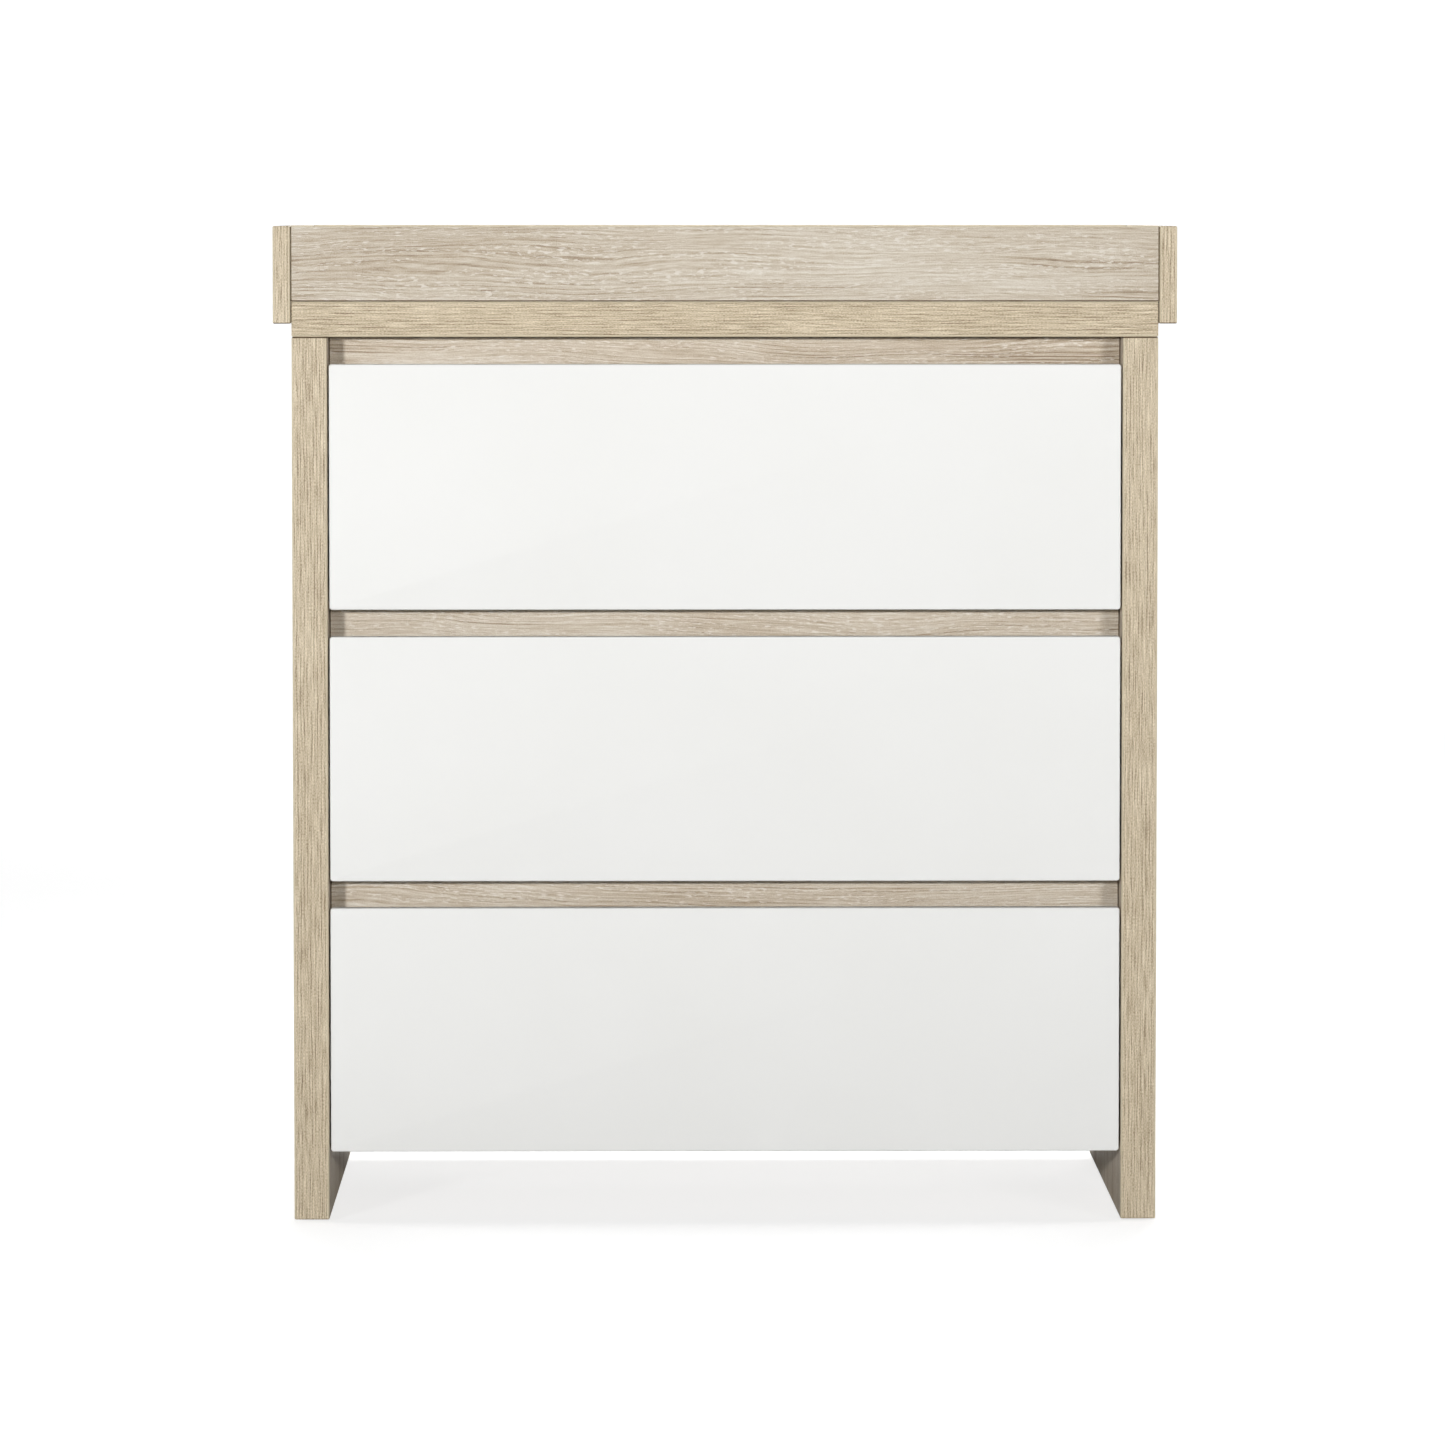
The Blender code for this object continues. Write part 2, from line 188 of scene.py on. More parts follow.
def group(name, takes, gives):
    """A new node group, with what its input node gives and what its output node takes."""
    tree = bpy.data.node_groups.new(name, "ShaderNodeTree")
    for label, kind in takes:
        tree.interface.new_socket(label, in_out="INPUT", socket_type="NodeSocket" + kind)
    for label, kind in gives:
        tree.interface.new_socket(label, in_out="OUTPUT", socket_type="NodeSocket" + kind)
    return tree, tree.nodes.new("NodeGroupInput").outputs, tree.nodes.new("NodeGroupOutput").inputs


# Oak finishes: swatches from dark to light, and how far along the tone each one lies
PRINT_SHADES = (
    (0.0, (148, 127, 103)), (0.35, (190, 173, 150)), (0.65, (212, 200, 182)), (1.0, (233, 226, 213)),
)
BAND_SHADES = ((0.0, (134, 114, 85)), (0.5, (195, 178, 149)), (1.0, (232, 218, 192)))
PORE_LIME = (238, 231, 221)
ARRIS_TONE = (212, 200, 172)
ARRIS_WIDTH = 0.0022        # the plain strip along each edge of a band
# painted shade: the dark colour given to eased edges where two boards meet, standing in for the shadow in
# the gap between them
JOINT_SHADE = (104, 86, 64)
GRAIN_DEPTH = 0.00018
TRAY_RAIL_TINT = (244, 244, 243)


def oak_print():
    """The limed oak print on the faces: wavy rings, brown streaks, fine fibres and short white pores."""
    tree, taken, given = group(
        "oak_print", [("Along", "Float"), ("Across", "Float")],
        [("Color", "Color"), ("Height", "Float"), ("Gloss", "Float")],
    )
    nodes = Nodes(tree)
    along, across = taken[0], taken[1]
    bent = nodes.warped(across, nodes.stretched(along, across, 1.7, 8.0), 0.085)
    bent = nodes.warped(bent, nodes.stretched(along, across, 9.0, 36.0), 0.0060)
    bent = nodes.warped(bent, nodes.stretched(along, across, 60.0, 180.0), 0.0007)
    rings = nodes.ribs(bent, nodes.stretched(along, bent, 3.0, 40.0), 225.0, 1.6)
    zones = nodes.step(nodes.stretched(along, bent, 2.4, 19.0), 0.38, 0.62)
    streaks = nodes.step(nodes.stretched(along, bent, 2.8, 46.0, 2.0, 0.5), 0.53, 0.68)
    lines = nodes.stretched(along, bent, 12.0, 560.0, 1.0)
    fibres = nodes.stretched(along, bent, 55.0, 1100.0, 1.0)
    grit = nodes.stretched(along, across, 800.0, 1400.0, 0.0)
    cloud = nodes.stretched(along, across, 3.0, 13.0)
    dashes = nodes.step(nodes.stretched(along, bent, 120.0, 760.0, 1.0), 0.55, 0.64)
    rows = nodes.step(nodes.stretched(along, bent, 7.0, 130.0), 0.40, 0.54)
    dashes = nodes.math("MULTIPLY", dashes, rows)
    weight = nodes.math("MULTIPLY_ADD", streaks, 0.30, nodes.math("MULTIPLY_ADD", zones, 0.16, 0.05))
    tone = nodes.mixed([(lines, 0.9), (fibres, 0.8), (grit, 0.60), (cloud, 0.70)], 0.63)
    tone = nodes.math("SUBTRACT", tone, nodes.math("MULTIPLY", rings, weight))
    tone = nodes.math("MULTIPLY_ADD", streaks, -0.11, tone)
    limed = nodes.math("MULTIPLY", dashes, 0.75)
    nodes.feed(given[0], nodes.blend(limed, nodes.shaded(tone, PRINT_SHADES), srgb(*PORE_LIME)))
    nodes.feed(given[1], nodes.math("MULTIPLY_ADD", dashes, -0.6, tone))
    nodes.feed(given[2], nodes.math("MULTIPLY_ADD", dashes, 0.10, 0.48))
    return tree


def oak_band():
    """The edge band: fine wavy fibres on a yellower ground."""
    tree, taken, given = group(
        "oak_band", [("Along", "Float"), ("Across", "Float")],
        [("Color", "Color"), ("Height", "Float"), ("Gloss", "Float")],
    )
    nodes = Nodes(tree)
    along, across = taken[0], taken[1]
    bent = nodes.warped(across, nodes.stretched(along, across, 8.0, 45.0), 0.0034)
    bent = nodes.warped(bent, nodes.stretched(along, across, 90.0, 150.0), 0.0012)
    rings = nodes.ribs(bent, nodes.stretched(along, bent, 6.0, 110.0), 290.0, 1.5)
    broken = nodes.step(nodes.stretched(along, bent, 18.0, 330.0), 0.34, 0.58)
    rings = nodes.math("MULTIPLY", rings, broken)
    fibres = nodes.stretched(along, bent, 38.0, 1000.0, 1.0)
    grit = nodes.stretched(along, across, 500.0, 1400.0, 0.0)
    cloud = nodes.stretched(along, across, 9.0, 45.0)
    tone = nodes.mixed([(fibres, 1.35), (grit, 0.9), (cloud, 0.35)], 0.63)
    tone = nodes.math("MULTIPLY_ADD", rings, -0.34, tone)
    nodes.feed(given[0], nodes.shaded(tone, BAND_SHADES))
    nodes.feed(given[1], tone)
    nodes.feed(given[2], nodes.math("MULTIPLY_ADD", fibres, 0.10, 0.42))
    return tree


OAK_PRINT = oak_print()
OAK_BAND = oak_band()


def material(name, colour=(0.8, 0.8, 0.8, 1), roughness=0.5, metallic=0.0):
    """A new material, its nodes and its shader."""
    made = bpy.data.materials.new(name)
    made.use_nodes = True
    shader = made.node_tree.nodes["Principled BSDF"]
    shader.inputs["Base Color"].default_value = colour
    shader.inputs["Roughness"].default_value = roughness
    shader.inputs["Metallic"].default_value = metallic
    return made, Nodes(made.node_tree), shader


def raise_surface(nodes, shader, height, depth, strength=1.0):
    feeds = {"Height": height, "Distance": depth, "Strength": strength}
    bump = nodes.add("Bump", feeds)
    nodes.feed(shader.inputs["Normal"], bump.outputs[0])


def oak_board(node, along, across, joints, seed):
    """The finish of one board: the print on its faces, with the grain along one axis, the band on its
    edges, and painted shade: a dark line on the eased edges that meet another board, for the shadow in the
    gap."""
    through = 3 - along - across
    low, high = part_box(node)
    middle, half = (low[through] + high[through]) / 2, (high[through] - low[through]) / 2
    made, nodes, shader = material(f"limed_oak_{node}")
    place = nodes.add("TexCoord").outputs
    axes = nodes.split(place["Object"])
    normal = nodes.split(place["Normal"])
    facing = [nodes.math("ABSOLUTE", part) for part in normal]
    drift = seed * 2.37
    length = nodes.math("ADD", axes[along], drift)
    width = nodes.math("ADD", axes[across], drift * 0.61)
    depth = nodes.math("SUBTRACT", axes[through], middle)
    on_face = nodes.math("GREATER_THAN", facing[through], 0.9)
    on_end = nodes.math("GREATER_THAN", facing[along], 0.6)
    face = nodes.add("Group", node_tree=OAK_PRINT)
    nodes.feed(face.inputs[0], length)
    nodes.feed(face.inputs[1], width)
    band = nodes.add("Group", node_tree=OAK_BAND)
    run = nodes.add("Mix", data_type="FLOAT")
    nodes.feed(run.inputs[0], on_end)
    nodes.feed(run.inputs[2], length)
    nodes.feed(run.inputs[3], width)
    nodes.feed(band.inputs[0], run.outputs[0])
    nodes.feed(band.inputs[1], nodes.math("ADD", depth, drift))
    away = nodes.math("ABSOLUTE", depth)
    arris = nodes.step(away, half - ARRIS_WIDTH, half - ARRIS_WIDTH * 0.6)
    banded = nodes.blend(nodes.math("MULTIPLY", arris, 0.75), band.outputs[0], srgb(*ARRIS_TONE))
    colour = nodes.blend(on_face, banded, face.outputs[0])
    if node in TRAY_RAILS:
        tinted = nodes.blend(1.0, colour, srgb(*TRAY_RAIL_TINT), "MULTIPLY")
        colour = nodes.blend(on_face, colour, tinted)
    flat = nodes.math("MAXIMUM", nodes.math("MAXIMUM", facing[0], facing[1]), facing[2])
    # painted shade: chamfers that face a neighbouring board are darkened, as the shadow in the gap between
    # the boards
    for axis, way in joints:
        towards = nodes.math("GREATER_THAN", nodes.math("MULTIPLY", normal[axis], way), 0.5)
        joint_shade_mask = nodes.math("MULTIPLY", towards, nodes.math("LESS_THAN", flat, 0.9))
        colour = nodes.blend(joint_shade_mask, colour, srgb(*JOINT_SHADE))
    nodes.feed(shader.inputs["Base Color"], colour)
    gloss = nodes.add("Mix", data_type="FLOAT")
    nodes.feed(gloss.inputs[0], on_face)
    nodes.feed(gloss.inputs[2], band.outputs[2])
    nodes.feed(gloss.inputs[3], face.outputs[2])
    nodes.feed(shader.inputs["Roughness"], gloss.outputs[0])
    height = nodes.add("Mix", data_type="FLOAT")
    nodes.feed(height.inputs[0], on_face)
    nodes.feed(height.inputs[2], band.outputs[1])
    nodes.feed(height.inputs[3], face.outputs[1])
    raise_surface(nodes, shader, height.outputs[0], GRAIN_DEPTH)
    return made


def dress(node, made):
    """Gives a carried-over node its finish."""
    mesh = frame["nodes"][node].data
    mesh.materials.clear()
    mesh.materials.append(made)


X, Y, Z = 0, 1, 2
TRAY_RAILS = ("tray_front_rail", "tray_back_rail")
# the eased edges in the last column are painted dark as shade where the boards meet
OAK_BOARDS = (              # node, axis of the grain, axis across it, eased edges that meet another board
    ("left_side_panel", Z, Y, ((Z, 1),)), ("right_side_panel", Z, Y, ((Z, 1),)),
    ("top_panel", X, Y, ()), ("bottom_panel", X, Y, ()),
    ("top_cross_rail", X, Z, ((X, -1), (X, 1), (Z, 1))), ("upper_cross_rail", X, Z, ((X, -1), (X, 1))),
    ("lower_cross_rail", X, Z, ((X, -1), (X, 1))), ("back_stretcher", X, Z, ((X, -1), (X, 1))),
    ("tray_left_end", Y, Z, ((Z, -1),)), ("tray_right_end", Y, Z, ((Z, -1),)),
    ("tray_front_rail", X, Z, ((X, -1), (X, 1), (Z, -1))),
    ("tray_back_rail", X, Z, ((X, -1), (X, 1), (Z, -1))),
)


def oak_boards():
    for seed, (node, along, across, joints) in enumerate(OAK_BOARDS, 1):
        dress(node, oak_board(node, along, across, joints, seed))


def white_foil():
    """Satin foil: a faint orange peel and a slow change of gloss."""
    made, nodes, shader = material("white_foil", srgb(242, 242, 240), 0.34)
    place = nodes.add("TexCoord").outputs["Object"]
    peel = nodes.noise(place, 420.0, 2.0)
    slow = nodes.noise(place, 5.0, 2.0)
    nodes.feed(shader.inputs["Base Color"], nodes.blend(slow, srgb(241, 241, 238), srgb(245, 245, 243)))
    nodes.feed(shader.inputs["Roughness"], nodes.math("MULTIPLY_ADD", slow, 0.10, 0.42))
    raise_surface(nodes, shader, peel, 0.00004, 0.35)
    return made


def plain(name, low_colour, high_colour, rate, roughness, metallic=0.0, depth=0.00003):
    """A finish of one colour with a fine tooth."""
    made, nodes, shader = material(name, low_colour, roughness, metallic)
    place = nodes.add("TexCoord").outputs["Object"]
    tooth = nodes.noise(place, rate, 3.0)
    nodes.feed(shader.inputs["Base Color"], nodes.blend(tooth, low_colour, high_colour))
    nodes.feed(shader.inputs["Roughness"], nodes.math("MULTIPLY_ADD", tooth, 0.12, roughness))
    raise_surface(nodes, shader, tooth, depth, 0.5)
    return made


def zinc(name="bright_zinc"):
    """Drawn steel strip: fine lines along the runner."""
    made, nodes, shader = material(name, srgb(196, 198, 200), 0.32, 1.0)
    axes = nodes.split(nodes.add("TexCoord").outputs["Object"])
    drawn = nodes.noise(
        nodes.join(
            nodes.math("MULTIPLY", axes[0], 900.0), nodes.math("MULTIPLY", axes[1], 9.0),
            nodes.math("MULTIPLY", axes[2], 900.0),
        ), 1.0, 3.0,
    )
    nodes.feed(shader.inputs["Base Color"], nodes.blend(drawn, srgb(184, 186, 190), srgb(214, 215, 216)))
    nodes.feed(shader.inputs["Roughness"], nodes.math("MULTIPLY_ADD", drawn, 0.18, 0.24))
    raise_surface(nodes, shader, drawn, 0.00002, 0.4)
    return made


def dress_by_slot():
    """The finishes of the nodes that stay as they are, by their material slot."""
    finishes = {
        "white_box_board": plain("white_melamine", srgb(226, 226, 222), srgb(234, 234, 231), 900.0, 0.42),
        "white_sheet": plain("white_hardboard", srgb(216, 215, 210), srgb(226, 225, 221), 260.0, 0.55),
        "zinc_steel": zinc(),
        "joiner_plastic": plain("joiner_plastic", srgb(228, 228, 224), srgb(236, 236, 233), 500.0, 0.40),
        "dowel_beech": plain("dowel_beech", srgb(196, 160, 118), srgb(212, 178, 136), 300.0, 0.62),
        "glide_plastic": plain("glide_plastic", srgb(38, 38, 38), srgb(48, 48, 47), 700.0, 0.48),
    }
    for entry in frame["record"]["subparts"]:
        if entry["material_slot"] in finishes:
            dress(entry["node"], finishes[entry["material_slot"]])
    return finishes


def new_piece(name, shape, body, made, slot, *replaced):
    """An object from a bmesh shape, with its place in its mesh."""
    mesh = bpy.data.meshes.new(name)
    bmesh.ops.recalc_face_normals(shape, faces=shape.faces)
    shape.to_mesh(mesh)
    shape.free()
    mesh.materials.append(made)
    mesh.shade_smooth()
    mesh.set_sharp_from_angle(angle=math.radians(35))
    piece = bpy.data.objects.new(name, mesh)
    bpy.context.scene.collection.objects.link(piece)
    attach(piece, body)
    if replaced:
        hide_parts(*replaced)
    return piece


def ease(shape, edges, width, segments):
    bmesh.ops.bevel(
        shape, geom=edges, offset=width, offset_type="OFFSET", segments=segments, profile=0.5,
        affect="EDGES", material=-1,
    )


def box_between(low, high):
    low, high = Vector(low), Vector(high)
    shape = bmesh.new()
    bmesh.ops.create_cube(shape, size=1)
    bmesh.ops.scale(shape, vec=high - low, verts=shape.verts)
    bmesh.ops.translate(shape, vec=(low + high) / 2, verts=shape.verts)
    return shape


FRONT_CORNER = 0.0030       # radius of a front's four corners
FRONT_EDGE = 0.0015         # radius round its face


def drawer_front(drawer, foil):
    """A wrapped front: rounded corners and a soft edge all round."""
    node = f"{drawer}_drawer_front"
    low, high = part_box(node)
    shape = box_between(low, high)
    corners = [edge for edge in shape.edges if abs(edge.verts[0].co.y - edge.verts[1].co.y) > 0.001]
    ease(shape, corners, FRONT_CORNER, 6)
    rims = [edge for edge in shape.edges if abs(edge.verts[0].co.y - edge.verts[1].co.y) < 1e-6
            and len({round(face.normal.y) for face in edge.link_faces}) == 2]
    ease(shape, rims, FRONT_EDGE, 5)
    return new_piece(f"{node}_wrapped", shape, f"{drawer}_drawer", foil, "white_front", node)


def outline_solid(points, depth):
    """A flat outline given thickness: depth is the vector that it is pushed along."""
    shape = bmesh.new()
    face = shape.faces.new([shape.verts.new(point) for point in points])
    pushed = bmesh.ops.extrude_face_region(shape, geom=[face])["geom"]
    moved = [item for item in pushed if isinstance(item, bmesh.types.BMVert)]
    bmesh.ops.translate(shape, vec=depth, verts=moved)
    return shape


def join(shapes):
    """Several shapes as one."""
    whole = bmesh.new()
    for shape in shapes:
        mesh = bpy.data.meshes.new("part")
        shape.to_mesh(mesh)
        shape.free()
        whole.from_mesh(mesh)
        bpy.data.meshes.remove(mesh)
    return whole


def cross_head(centre, outward, radius, height, depth):
    """A low round head with a cross recess, on a surface that faces along X, Y or Z."""
    shape = bmesh.new()
    bmesh.ops.create_circle(
        shape, cap_ends=True, radius=radius, segments=12, matrix=Matrix.Rotation(math.radians(15), 4, "Z"),
    )
    pushed = bmesh.ops.extrude_face_region(shape, geom=shape.faces[:])["geom"]
    top = [item for item in pushed if isinstance(item, bmesh.types.BMFace)][0]
    bmesh.ops.translate(shape, vec=(0, 0, height * 0.6), verts=top.verts)
    ease(shape, top.edges[:], height * 0.5, 2)
    top = max(shape.faces, key=lambda face: face.calc_center_median().z)
    bmesh.ops.translate(shape, vec=(0, 0, height * 0.4), verts=top.verts)
    bmesh.ops.inset_region(shape, faces=[top], thickness=radius * 0.2, depth=0)
    top = max(shape.faces, key=lambda face: (round(face.calc_center_median().z, 6), len(face.verts)))
    arm, half = radius * 0.52, radius * 0.13
    for vert in top.verts:
        across, along = abs(vert.co.x), abs(vert.co.y)
        reach_x = arm if across > along * 1.5 else half
        reach_y = arm if along > across * 1.5 else half
        vert.co.x, vert.co.y = math.copysign(reach_x, vert.co.x), math.copysign(reach_y, vert.co.y)
    pushed = bmesh.ops.extrude_face_region(shape, geom=[top])["geom"]
    floor = [item for item in pushed if isinstance(item, bmesh.types.BMVert)]
    bmesh.ops.translate(shape, vec=(0, 0, -depth), verts=floor)
    place = Matrix.Translation(centre) @ Vector(outward).to_track_quat("Z", "Y").to_matrix().to_4x4()
    bmesh.ops.transform(shape, matrix=place, verts=shape.verts)
    return shape


def ball(centre, radius):
    shape = bmesh.new()
    bmesh.ops.create_uvsphere(
        shape, u_segments=8, v_segments=6, radius=radius, matrix=Matrix.Translation(centre),
    )
    return shape


# The runners' small parts. Distances across a runner run from the side panel inwards.
BALL_RADIUS = 0.0019
BALL_PITCH = 0.0185
BALLS_IN_ROW = 11
CAGE_STEEL = 0.0005
CAGES = (                   # start along the runner, web, ball centre and half height of the two cages
    (0.230, 0.0026, 0.0074, 0.01955),
    (0.020, 0.0064, 0.0094, 0.01425),
)
RUNNER_STEEL = 0.0012
RUNNER_SCREWS = (0.037, 0.213, 0.405)
SCREW_RADIUS = 0.0036
SCREW_HEIGHT = 0.0013
SCREW_RECESS = 0.0008
LEVER_START = 0.088
LEVER_LENGTH = 0.052
LEVER_HALF = 0.0024
LEVER_THICKNESS = 0.0016
LEVER_DROP = 0.0035         # of its rear end
BOSS_RADIUS = 0.0052
BOSS_DEPTH = 0.0024
BUFFER_LENGTH = 0.011
BUFFER_HALF = 0.009
BUFFER_THICKNESS = 0.0026
BUFFER_GAP = 0.0008         # to the end of the runner


class Runner:
    """Where one runner lies, and its small parts."""

    def __init__(self, drawer, label, side):
        self.name, self.drawer, self.side = f"{drawer}_{label}_runner", drawer, side
        low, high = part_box(f"{self.name}_cabinet_member")
        self.face = low.x if side < 0 else high.x
        self.front, self.rear = low.y, high.y
        self.middle = (low.z + high.z) / 2
        low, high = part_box(f"{self.name}_drawer_member")
        self.depth = abs((high.x if side < 0 else low.x) - self.face)

    def place(self, across, along, up=0.0):
        """A point from its distance inwards, its distance back and its height."""
        return Vector((self.face - self.side * across, self.front + along, self.middle + up))

    def cages(self, steel, bright):
        cages, balls = [], []
        for start, web, ball_across, half in CAGES:
            tip, inner, thin = ball_across + BALL_RADIUS * 0.75, web + CAGE_STEEL, half - CAGE_STEEL
            profile = [(web, -half), (tip, -half), (tip, -thin), (inner, -thin),
                       (inner, thin), (tip, thin), (tip, half), (web, half)]
            length = BALL_PITCH * (BALLS_IN_ROW - 1) + 4 * BALL_RADIUS
            cages.append(outline_solid([self.place(out, start, up) for out, up in profile], (0, length, 0)))
            for count in range(BALLS_IN_ROW):
                along = start + 2 * BALL_RADIUS + count * BALL_PITCH
                for up in (CAGE_STEEL / 2 - half, half - CAGE_STEEL / 2):
                    balls.append(ball(self.place(ball_across, along, up), BALL_RADIUS))
        body = f"{self.drawer}_drawer_slides"
        new_piece(f"{self.name}_ball_cages", join(cages), body, steel, "zinc_steel")
        new_piece(f"{self.name}_balls", join(balls), body, bright, "zinc_steel")

    def screws(self, bright):
        for member, body, across, way in (
            ("cabinet", "carcass", RUNNER_STEEL, -self.side),
            ("drawer", f"{self.drawer}_drawer", self.depth - RUNNER_STEEL, self.side),
        ):
            heads = [
                cross_head(self.place(across, along), (way, 0, 0), SCREW_RADIUS, SCREW_HEIGHT, SCREW_RECESS)
                for along in RUNNER_SCREWS
            ]
            new_piece(f"{self.name}_{member}_screws", join(heads), body, bright, "zinc_steel")

    def lever(self, black):
        """The black catch that frees the drawer from its runner."""
        web = self.depth - RUNNER_STEEL
        start = self.place(web, LEVER_START, -LEVER_HALF)
        end = self.place(web - LEVER_THICKNESS, LEVER_START, LEVER_HALF)
        bar = box_between(
            (min(start.x, end.x), start.y, start.z), (max(start.x, end.x), start.y + LEVER_LENGTH, end.z),
        )
        tail = [vert for vert in bar.verts if vert.co.y > start.y + LEVER_LENGTH / 2]
        bmesh.ops.translate(bar, vec=(0, 0, -LEVER_DROP), verts=tail)
        ease(bar, bar.edges[:], 0.0005, 2)
        boss = bmesh.new()
        turned = Matrix.Rotation(math.radians(90), 4, "Y")
        bmesh.ops.create_cone(
            boss, cap_ends=True, segments=20, radius1=BOSS_RADIUS, radius2=BOSS_RADIUS, depth=BOSS_DEPTH,
        )
        ease(boss, boss.edges[:], 0.0004, 2)
        centre = self.place(web - BOSS_DEPTH / 2, LEVER_START)
        bmesh.ops.transform(boss, matrix=Matrix.Translation(centre) @ turned, verts=boss.verts)
        shape = join([bar, boss])
        new_piece(f"{self.name}_release_lever", shape, f"{self.drawer}_drawer", black, "glide_plastic")

    def buffer(self, white):
        """The soft stop at the cabinet member's rear."""
        start = self.place(RUNNER_STEEL, 0, -BUFFER_HALF)
        end = self.place(RUNNER_STEEL + BUFFER_THICKNESS, 0, BUFFER_HALF)
        block = box_between(
            (min(start.x, end.x), self.rear - BUFFER_LENGTH - BUFFER_GAP, start.z),
            (max(start.x, end.x), self.rear - BUFFER_GAP, end.z),
        )
        ease(block, block.edges[:], 0.0006, 2)
        new_piece(f"{self.name}_rear_buffer", block, "carcass", white, "joiner_plastic")


CAM_RADIUS = 0.0075
CAM_BACK = 0.034            # from a front's rear face to the cams in the box's sides
CAM_HEIGHTS = (0.055, 0.130)
CAM_PROUD, CAM_RECESS = 0.0006, 0.0005


def drawer_cams(drawer, bright):
    """The cams in a box's sides that draw its front on."""
    rear_of_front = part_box(f"{drawer}_drawer_front")[1].y
    cams = []
    for label, side in SIDES:
        low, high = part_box(f"{drawer}_drawer_{label}_side")
        face = high.x if side < 0 else low.x
        for height in CAM_HEIGHTS:
            centre = (face, rear_of_front + CAM_BACK, low.z + height)
            cams.append(cross_head(centre, (-side, 0, 0), CAM_RADIUS, CAM_PROUD, CAM_RECESS))
    new_piece(f"{drawer}_drawer_cams", join(cams), f"{drawer}_drawer", bright, "zinc_steel")


CAP_RADIUS = 0.0088
CAP_HEIGHT = 0.0009
CAP_FROM_END = 0.034
CAP_ABOVE_MIDDLE = 0.006


def cover_cap(centre, outward):
    """A thin round cap over a cam."""
    shape = bmesh.new()
    bmesh.ops.create_cone(
        shape, cap_ends=True, segments=32, radius1=CAP_RADIUS, radius2=CAP_RADIUS * 0.97, depth=CAP_HEIGHT,
    )
    crown = [edge for edge in shape.edges if all(vert.co.z > 0 for vert in edge.verts)]
    ease(shape, crown, CAP_HEIGHT * 0.6, 3)
    lift = Matrix.Translation((0, 0, CAP_HEIGHT / 2))
    place = Matrix.Translation(centre) @ Vector(outward).to_track_quat("Z", "Y").to_matrix().to_4x4()
    bmesh.ops.transform(shape, matrix=place @ lift, verts=shape.verts)
    return shape


def tray_caps(made):
    """Caps over the cams that hold the tray's rails to its ends."""
    caps = []
    for node, inward in (("tray_front_rail", 1), ("tray_back_rail", -1)):
        low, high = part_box(node)
        face = high.y if inward > 0 else low.y
        for x in (low.x + CAP_FROM_END, high.x - CAP_FROM_END):
            caps.append(cover_cap((x, face, (low.z + high.z) / 2 + CAP_ABOVE_MIDDLE), (0, inward, 0)))
    new_piece("tray_cam_caps", join(caps), "changing_tray", made, "limed_oak_board")


NAILS = 7
NAIL_RADIUS = 0.0028
NAIL_HEIGHT = 0.0006
NAIL_FROM_EDGE = 0.009
NAIL_FROM_SIDE = 0.06


def back_nails(bright):
    """Flat nails that hold the back's lower sheet to the stretcher."""
    low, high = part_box("back_panel_lower")
    reach = (high.x - low.x) / 2 - NAIL_FROM_SIDE
    heads = []
    for count in range(NAILS):
        x = reach * (2 * count / (NAILS - 1) - 1)
        shape = bmesh.new()
        bmesh.ops.create_cone(
            shape, cap_ends=True, segments=16, depth=NAIL_HEIGHT,
            radius1=NAIL_RADIUS, radius2=NAIL_RADIUS * 0.9,
        )
        crown = [edge for edge in shape.edges if all(vert.co.z > 0 for vert in edge.verts)]
        ease(shape, crown, NAIL_HEIGHT / 2, 2)
        place = Matrix.Translation((x, high.y + NAIL_HEIGHT / 2, low.z + NAIL_FROM_EDGE))
        turned = Matrix.Rotation(math.radians(-90), 4, "X")
        bmesh.ops.transform(shape, matrix=place @ turned, verts=shape.verts)
        heads.append(shape)
    new_piece("back_panel_nails", join(heads), "carcass", bright, "zinc_steel")


def polished(name):
    """Bright plated steel, with faint turning marks."""
    made, nodes, shader = material(name, srgb(206, 207, 208), 0.2, 1.0)
    place = nodes.add("TexCoord").outputs["Object"]
    marks = nodes.noise(place, 1600.0, 2.0)
    nodes.feed(shader.inputs["Base Color"], nodes.blend(marks, srgb(196, 197, 199), srgb(216, 217, 217)))
    nodes.feed(shader.inputs["Roughness"], nodes.math("MULTIPLY_ADD", marks, 0.16, 0.14))
    raise_surface(nodes, shader, marks, 0.00001, 0.3)
    return made


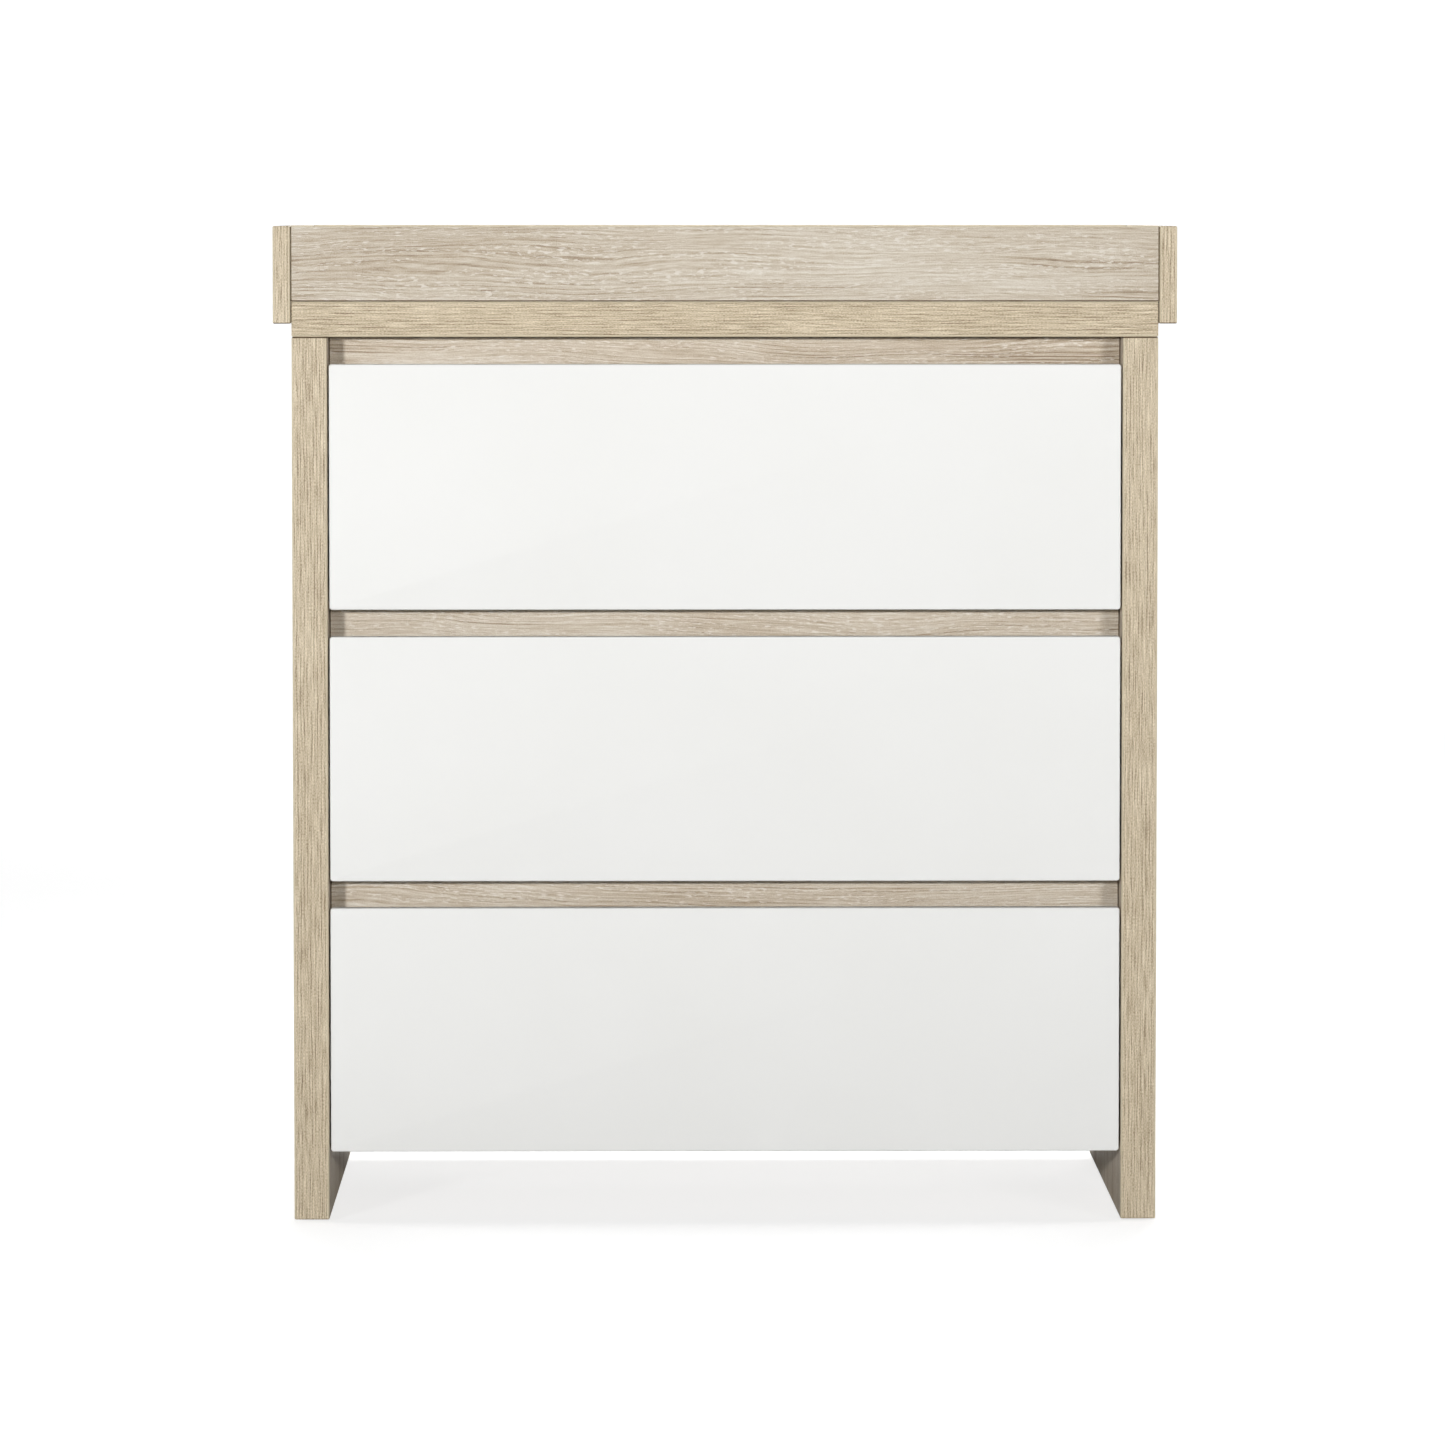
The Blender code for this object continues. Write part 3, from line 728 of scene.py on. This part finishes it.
def stage():
    """A round pale floor that curves up into a low wall all round."""
    made, nodes, shader = material("pale_floor", (STAGE_GREY, STAGE_GREY, STAGE_GREY, 1), 0.75)
    place = nodes.add("TexCoord").outputs["Object"]
    away = nodes.add("VectorMath", {0: place}, operation="LENGTH").outputs["Value"]
    far = nodes.step(away, STAGE_NEAR, STAGE_FAR)
    white = nodes.math("MULTIPLY_ADD", far, STAGE_FAR_WHITE - STAGE_WHITE, STAGE_WHITE)
    seen = nodes.add("LightPath").outputs["Is Camera Ray"]
    shader.inputs["Emission Color"].default_value = (1, 1, 1, 1)
    nodes.feed(shader.inputs["Emission Strength"], nodes.math("MULTIPLY_ADD", seen, white, STAGE_GLOW))
    shape = bmesh.new()
    outline = [(0, 0), (STAGE_RADIUS * 0.3, 0), (STAGE_RADIUS, 0)]
    for degrees in range(15, 91, 15):
        turn = math.radians(degrees)
        outline.append((STAGE_RADIUS + STAGE_CURVE * math.sin(turn), STAGE_CURVE * (1 - math.cos(turn))))
    outline.append((STAGE_RADIUS + STAGE_CURVE, STAGE_HEIGHT))
    points = [shape.verts.new((out, 0, up)) for out, up in outline]
    for first, second in zip(points, points[1:]):
        shape.edges.new((first, second))
    bmesh.ops.spin(
        shape, geom=shape.verts[:] + shape.edges[:], cent=(0, 0, 0), axis=(0, 0, 1), angle=math.tau,
        steps=STAGE_STEPS, use_merge=True,
    )
    bmesh.ops.remove_doubles(shape, verts=shape.verts, dist=0.0001)
    bmesh.ops.recalc_face_normals(shape, faces=shape.faces)
    mesh = bpy.data.meshes.new("floor")
    shape.to_mesh(mesh)
    shape.free()
    mesh.materials.append(made)
    mesh.shade_smooth()
    floor = bpy.data.objects.new("floor", mesh)
    bpy.context.scene.collection.objects.link(floor)


def lamp(name, place, target, size, power, spread):
    """A soft box that faces a point."""
    data = bpy.data.lights.new(name, "AREA")
    data.shape = "RECTANGLE"
    data.size, data.size_y = size
    data.energy = power
    data.spread = math.radians(spread)
    made = bpy.data.objects.new(name, data)
    made.location = place
    made.rotation_euler = (Vector(target) - Vector(place)).to_track_quat("-Z", "Y").to_euler()
    made.visible_camera = False
    bpy.context.scene.collection.objects.link(made)


def light():
    for name, place, target, size, power, spread in LAMPS:
        lamp(name, place, target, size, power, spread)
    world = bpy.data.worlds.new("studio")
    world.use_nodes = True
    sky = world.node_tree.nodes["Background"]
    sky.inputs["Color"].default_value = (1, 1, 1, 1)
    sky.inputs["Strength"].default_value = SKY_GLOW
    bpy.context.scene.world = world


def camera():
    data = bpy.data.cameras.new("camera")
    data.sensor_width = CAMERA_SENSOR
    data.lens = CAMERA_LENS
    data.shift_y = CAMERA_SHIFT
    made = bpy.data.objects.new("camera", data)
    made.location = (CAMERA_RIGHT, cad_low.y - CAMERA_DISTANCE, cad_high.z + CAMERA_ABOVE_TRAY)
    made.rotation_euler = (math.radians(90 + CAMERA_TILT), 0, -math.radians(CAMERA_TURN))
    bpy.context.scene.collection.objects.link(made)
    bpy.context.scene.camera = made


camera()
light()
stage()
oak_boards()
FINISHES = dress_by_slot()
FOIL = white_foil()
BRIGHT = polished("bright_screw")
CAP = plain("oak_cap", srgb(198, 184, 162), srgb(208, 195, 174), 700.0, 0.45)
for each in DRAWERS:
    drawer_front(each, FOIL)
    drawer_cams(each, BRIGHT)
    for label, side in SIDES:
        runner = Runner(each, label, side)
        runner.cages(FINISHES["zinc_steel"], BRIGHT)
        runner.screws(BRIGHT)
        runner.lever(FINISHES["glide_plastic"])
        runner.buffer(FINISHES["joiner_plastic"])
tray_caps(CAP)
back_nails(BRIGHT)
bpy.context.scene.view_settings.view_transform = "Standard"
